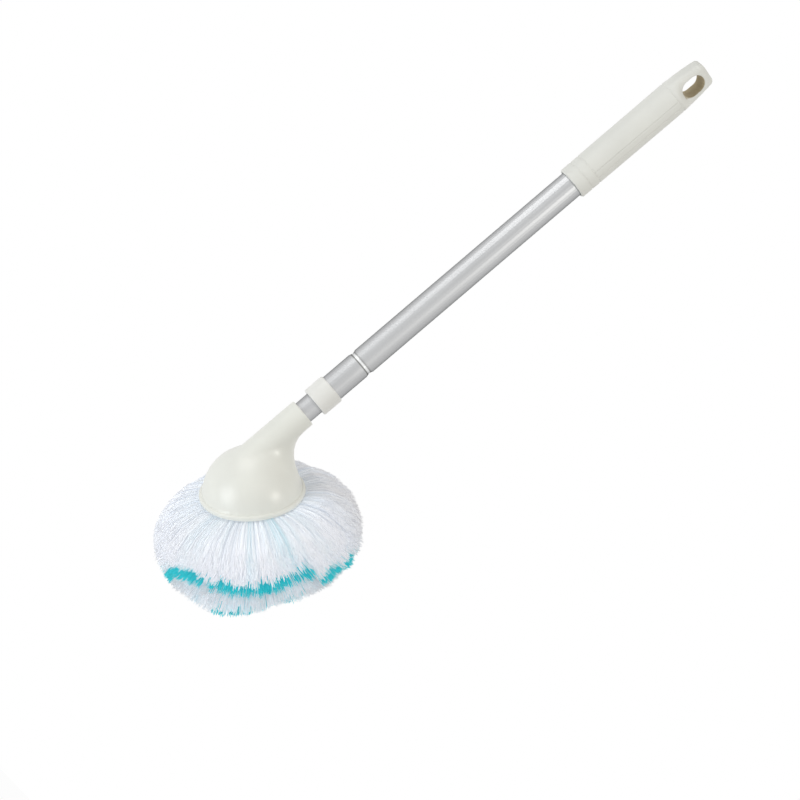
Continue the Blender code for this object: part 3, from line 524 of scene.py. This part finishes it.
# A row's shade: below 0 painted shade, greyer for the rows deep under the band of tips; above 0 the
# teal tint
ROWS = (
    Row(66, 70, 0.93, (-29, 0, 0), (-10, 0.5, 0), 1.0, 0.30, 0.0, "bristles_rim"),
    Row(66, 58, 0.825, (-22, 0.2, 0), (-7, 0.9, 0), 0.8, 0.18, 0.0, "bristles_outer"),
    Row(66, 48, 0.72, (-15, 0.6, 0), (-4, 1, 0), 0.4, 0.08, 0.0, "bristles_outer"),
    Row(90, 40, 0.615, (-6, 1, 0), (6, 1, 0), 0.0, 0.0, 0.0, "bristles_teal_outer"),
    Row(60, 40, 0.54, (6, 1, 0), (0, 0.5, 0.5), 0.0, 0.0, -0.9, "bristles_middle"),
    Row(52, 42, 0.47, (0, 0.5, 0.5), (-2, 0, 1), 0.0, 0.0, 0.6, "bristles_middle"),
    Row(40, 60, 0.405, (-3, 0, 1), (3, 0, 1), 0.0, 0.0, 0.0, "bristles_teal_inner"),
    Row(30, 42, 0.30, (4, 0, 1), (65, 0, 0), 0.0, 0.0, -0.5, "bristles_inner"),
    Row(19, 42, 0.195, (64, 0, 0), (77, 0, 0), 0.0, 0.0, -0.5, "bristles_core"),
    Row(8, 42, 0.085, (76, 0, 0), (89, 0, 0), 0.0, 0.0, -0.5, "bristles_core"),
)
FIRST_SEED = 40


def by_heading(table, heading):
    headings, values = zip(*table)
    return np.interp(np.degrees(heading), headings, values, period=360)


def band_edge(edge, heading):
    turn, outer_share, inner_share = edge
    outer_ring = by_heading(OUTER_RING, heading)
    inner_ring = by_heading(INNER_RING, heading)
    return turn + outer_share * outer_ring + inner_share * inner_ring


def away_from(heading, middle):
    return np.abs((heading - middle + math.pi) % (2 * math.pi) - math.pi)


def swell(heading, tip):
    """Share by which filaments are longer than the even fan."""
    total = np.zeros_like(heading)
    for middle, turn, reach, depth, share in SWELLS:
        aside = np.degrees(away_from(heading, math.radians(middle))) / reach
        below = (np.degrees(tip) - turn) / depth
        total += share * np.exp(-aside ** 2 - below ** 2)
    above = np.clip((FRINGE_TURN - np.degrees(tip)) / FRINGE_TURN, 0, 1)
    return total + above * by_heading(FRINGE, heading)


def strand_lines(row, chance):
    """Roots, bends, tips, headings and tones of a row's filaments, each in its heading's plane."""
    spacing = 2 * math.pi / row.tufts
    shared = np.random.default_rng(row.tufts)
    tuft_heading = np.arange(row.tufts) + shared.uniform(-TUFT_SHIFT, TUFT_SHIFT, row.tufts)
    tuft_heading = tuft_heading * spacing
    pair_length = shared.normal(0, 1, row.tufts)[np.arange(row.tufts) // RAGGED_TUFTS]
    if row.node == "bristles_teal_outer":
        for middle, reach in RING_GAPS:
            kept = away_from(tuft_heading, math.radians(middle)) > math.radians(reach)
            tuft_heading, pair_length = tuft_heading[kept], pair_length[kept]
    tufts = len(tuft_heading)
    count = tufts * row.filaments
    tuft = np.repeat(np.arange(tufts), row.filaments)
    tuft_tip = chance.normal(0, BAND_TUFT_SHIFT, tufts)
    ragged = np.exp(-(away_from(tuft_heading, RAGGED_HEADING) / RAGGED_REACH) ** 2)
    uneven = pair_length * RAGGED_LENGTH * ragged * row.lift
    tuft_length = 1 + chance.normal(0, TUFT_LENGTH, tufts) + uneven
    tuft_tone = TONE_MIDDLE + chance.uniform(-TUFT_TONE, TUFT_TONE, tufts)
    away = chance.normal(0, 1, (count, 2))
    away /= np.maximum(1, np.linalg.norm(away, axis=1) / TUFT_LIMIT)[:, None]
    heading = tuft_heading[tuft] + away[:, 0] * spacing * TIP_WIDTH
    lift = SPREAD_LIFT * row.lift * (1 + np.cos(heading - SPREAD_LIFT_HEADING)) / 2

    outer = band_edge(row.outer_edge, tuft_heading)[tuft]
    inner = band_edge(row.inner_edge, tuft_heading)[tuft]
    share = BAND_MIDDLE + BAND_WIDTH * away[:, 1] + tuft_tip[tuft]
    share = share + chance.normal(0, BAND_STRAND_SHIFT, count)
    tip = np.radians(outer + (inner - outer) * share) - lift
    root_turn = BASE_EDGE_TURN * row.root_share - away[:, 1] * ROOT_TURN
    normal = np.stack([np.sin(root_turn), -np.cos(root_turn)], 1)
    root = np.array([0, BASE_CENTRE]) + normal * (BASE_RADIUS - ROOT_DEPTH)
    end = np.stack([
        SPREAD_RADIUS * np.cos(tip),
        -SPREAD_DROP - SPREAD_HALF_DEPTH * np.sin(tip),
    ], 1)
    length = tuft_length[tuft] + chance.normal(0, STRAND_LENGTH, count) + swell(heading, tip)
    end = root + (end - root) * length[:, None]

    chord = end - root
    distance = np.linalg.norm(chord, axis=1)[:, None]
    chord = chord / distance
    lead = normal + chord
    lead /= np.linalg.norm(lead, axis=1)[:, None]
    raised = chord + row.arch * np.stack([-chord[:, 1], chord[:, 0]], 1)
    lead = lead + (raised - lead) * min(1, row.arch * ARCH_LEAD)
    bend = root + lead * distance * (BEND_SHARE + row.arch * ARCH_BEND)
    root_heading = tuft_heading[tuft] + away[:, 0] * spacing * ROOT_WIDTH

    # Painted shade: greyer strands on the shaded side of the fan and in the deep rows
    shade = np.clip(by_heading(PAINTED_SHADES, heading) + row.shade, -1, 1)
    tone = tuft_tone[tuft] + chance.uniform(-STRAND_TONE, STRAND_TONE, count) + PAINTED_SHADE_TONE * shade
    return root, bend, end, heading, root_heading, np.clip(tone, 0, 1)


def swung(points, heading):
    """(radius, height) points turned round the head's axis to their headings."""
    radius, height = points[:, 0], points[:, 1]
    return np.stack([radius * np.cos(heading), radius * np.sin(heading), height], 1)


def leaned(points):
    """Points turned with the whole fan's lean."""
    axis = Vector((-math.sin(SPREAD_LEAN_HEADING), math.cos(SPREAD_LEAN_HEADING), 0))
    turn = np.array(Matrix.Rotation(-SPREAD_LEAN, 3, axis))
    return points @ turn.T


def row_mesh(row, chance):
    """Corners, faces and strand map of a row's filaments, in the frame's axes."""
    root, bend, end, heading, root_heading, tone = strand_lines(row, chance)
    count = len(heading)
    stations = np.array(STATIONS)[None, :, None]
    rest = 1 - stations
    sway = chance.normal(0, SWAY, count)
    root = swung(root, root_heading)
    bend = leaned(swung(bend, (root_heading + heading) / 2 + sway))
    end = leaned(swung(end, heading))
    line = root[:, None] * rest ** 2
    line = line + bend[:, None] * 2 * rest * stations + end[:, None] * stations ** 2
    across = np.stack([-np.sin(heading), np.cos(heading), np.zeros(count)], 1)[:, None]
    along = 2 * ((bend - root)[:, None] * rest + (end - bend)[:, None] * stations)
    along /= np.linalg.norm(along, axis=2)[..., None]
    outward = np.cross(along, across)
    outward /= np.linalg.norm(outward, axis=2)[..., None]
    radius = np.array(STATION_RADII)[None, :, None]
    corners = np.empty((count, len(STATIONS), SIDES, 3))
    spin = math.pi / SIDES + chance.uniform(-SPIN, SPIN, count)
    for side in range(SIDES):
        angle = (spin + 2 * math.pi * side / SIDES)[:, None, None]
        corners[:, :, side] = line + (across * np.sin(angle) + outward * np.cos(angle)) * radius
    points = corners.reshape(-1, 3)
    points = points @ np.array(to_frame.to_3x3()).T + np.array(to_frame.translation)

    quads = []
    for low in range(0, (len(STATIONS) - 1) * SIDES, SIDES):
        high = low + SIDES
        for side in range(SIDES):
            beside = (side + 1) % SIDES
            quads.append((low + side, low + beside, high + beside, high + side))
    quads = np.array(quads)
    first = (np.arange(count) * len(STATIONS) * SIDES)[:, None, None]
    faces = (quads[None] + first).reshape(-1, 4)
    share = np.repeat(STATIONS, SIDES)
    strand_map = np.stack([np.repeat(tone, len(share)), np.tile(share, count)], 1)
    return points, faces, strand_map


def build_filaments(node_name, rows, material, seed):
    """One piece for all filaments of a node of the part."""
    chance = np.random.default_rng(seed)
    all_points, all_faces, all_maps = [], [], []
    offset = 0
    for row in rows:
        points, faces, strand_map = row_mesh(row, chance)
        all_points.append(points)
        all_faces.append(faces + offset)
        all_maps.append(strand_map)
        offset += len(points)
    points = np.concatenate(all_points)
    faces = np.concatenate(all_faces)
    strand_map = np.concatenate(all_maps)
    starts = np.arange(0, faces.size, faces.shape[1], dtype=np.int32)
    mesh = bpy.data.meshes.new(node_name + "_filaments")
    mesh.vertices.add(len(points))
    mesh.vertices.foreach_set("co", points.ravel().astype(np.float32))
    mesh.loops.add(faces.size)
    mesh.loops.foreach_set("vertex_index", faces.ravel().astype(np.int32))
    mesh.polygons.add(len(faces))
    mesh.polygons.foreach_set("loop_start", starts)
    mesh.update(calc_edges=True)
    layer = mesh.uv_layers.new(name="strand")
    layer.data.foreach_set("uv", strand_map[faces.ravel()].ravel().astype(np.float32))
    mesh.shade_smooth()
    mesh.materials.append(material)
    mesh.validate()
    piece = add_object(node_name + "_filaments", mesh)
    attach(piece, "inner_pole")
    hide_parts(node_name)


for seed, node_name in enumerate(dict.fromkeys(row.node for row in ROWS), FIRST_SEED):
    node_rows = [row for row in ROWS if row.node == node_name]
    strand_look = teal_filament if "teal" in node_name else white_filament
    build_filaments(node_name, node_rows, strand_look, seed)


# Camera: the photograph's direction, rolled so that the pole runs up to the right
AZIMUTH = math.radians(-37)
ELEVATION = math.radians(-3)
ROLL = math.radians(40.46)
CAMERA_DISTANCE = 3.572
CAMERA_LENS = 181.2
SENSOR_WIDTH = 36.0
NEAREST = 0.05
FARTHEST = 60.0
TARGET_HEIGHT = -0.3805
TARGET_ASIDE = 0.0474
TARGET_RIGHT = 0.00003
TARGET_UP = 0.0003

back = Vector((
    math.sin(AZIMUTH) * math.cos(ELEVATION),
    -math.cos(AZIMUTH) * math.cos(ELEVATION),
    math.sin(ELEVATION),
))
level = Vector((math.cos(AZIMUTH), math.sin(AZIMUTH), 0.0))
upright = back.cross(level)
right = upright * math.cos(ROLL) + level * math.sin(ROLL)
up = upright * math.sin(ROLL) - level * math.cos(ROLL)
target = Vector((0.0, 0.0, TARGET_HEIGHT)) + level * TARGET_ASIDE
target = target + right * TARGET_RIGHT + up * TARGET_UP

camera_data = bpy.data.cameras.new("camera")
camera_data.lens = CAMERA_LENS
camera_data.sensor_width = SENSOR_WIDTH
camera_data.clip_start = NEAREST
camera_data.clip_end = FARTHEST
camera = add_object("camera", camera_data)
camera.matrix_world = Matrix((
    (right.x, up.x, back.x, 0),
    (right.y, up.y, back.y, 0),
    (right.z, up.z, back.z, 0),
    (0, 0, 0, 1),
))
camera.location = target + back * CAMERA_DISTANCE
bpy.context.scene.camera = camera


# Lights: a large soft one on the left of the picture, a smaller one on the right and one above
LAMP_DISTANCE = 1.7


def softbox(name, aside, above, towards, size, power, colour=(1.0, 1.0, 1.0)):
    """A round lamp that faces the object, in a direction given in the picture's own axes."""
    direction = (right * aside + up * above + back * towards).normalized()
    data = bpy.data.lights.new(name, "AREA")
    data.shape = "DISK"
    data.size = size
    data.energy = power
    data.color = colour
    lamp = add_object(name, data)
    lamp.location = target + direction * LAMP_DISTANCE
    lamp.rotation_mode = "QUATERNION"
    lamp.rotation_quaternion = direction.to_track_quat("Z", "Y")


softbox("key_light", -0.83, -0.06, 0.52, size=1.00, power=11.8, colour=(0.92, 0.965, 1.0))
softbox("fill_light", 0.80, -0.10, 0.60, size=0.45, power=8.0, colour=(1.0, 0.98, 0.93))
softbox("top_light", -0.25, 0.95, 0.42, size=1.00, power=6.6)


def seen_rays(nodes, links):
    """1 for rays of the camera, reflections and glass, 0 for the rays that light the object."""
    rays = nodes.new("ShaderNodeLightPath").outputs
    seen = calculate(
        nodes, links, "MAXIMUM", rays["Is Camera Ray"], rays["Is Transmission Ray"])
    return calculate(nodes, links, "MAXIMUM", seen, rays["Is Glossy Ray"])


# Floor under the hanging brush, which shows white but keeps the shadow
FLOOR_HEIGHT = -2.10
FLOOR_HALF_SIZE = 12.0
FLOOR_ROUGHNESS = 0.9
FLOOR_GLOW_SHARE = 0.96

floor_mesh = bpy.data.meshes.new("floor")
floor_mesh.from_pydata([
    (-FLOOR_HALF_SIZE, -FLOOR_HALF_SIZE, FLOOR_HEIGHT),
    (FLOOR_HALF_SIZE, -FLOOR_HALF_SIZE, FLOOR_HEIGHT),
    (FLOOR_HALF_SIZE, FLOOR_HALF_SIZE, FLOOR_HEIGHT),
    (-FLOOR_HALF_SIZE, FLOOR_HALF_SIZE, FLOOR_HEIGHT),
], [], [(0, 1, 2, 3)])
floor = add_object("floor", floor_mesh)
floor_material, nodes, links, shader = new_material("floor_look")
shader.inputs["Base Color"].default_value = grey(0.86)
shader.inputs["Roughness"].default_value = FLOOR_ROUGHNESS
glow = nodes.new("ShaderNodeEmission")
glow.inputs["Color"].default_value = WHITE
glow.inputs["Strength"].default_value = 1.0
glow_share = calculate(nodes, links, "MULTIPLY", seen_rays(nodes, links), FLOOR_GLOW_SHARE)
blend = nodes.new("ShaderNodeMixShader")
links.new(glow_share, blend.inputs["Fac"])
links.new(shader.outputs["BSDF"], blend.inputs[1])
links.new(glow.outputs["Emission"], blend.inputs[2])
links.new(blend.outputs["Shader"], nodes["Material Output"].inputs["Surface"])
floor_mesh.materials.append(floor_material)

# World: white where the camera sees it, and an even soft light on the object
AMBIENT = (0.525, 0.515, 0.49, 1.0)
world = bpy.data.worlds.new("studio")
bpy.context.scene.world = world
world.use_nodes = True
world_nodes, world_links = world.node_tree.nodes, world.node_tree.links
world_light = mix(
    world_nodes, world_links, seen_rays(world_nodes, world_links), AMBIENT, WHITE)
world_links.new(world_light, world_nodes["Background"].inputs["Color"])

bpy.context.scene.view_settings.view_transform = "Standard"
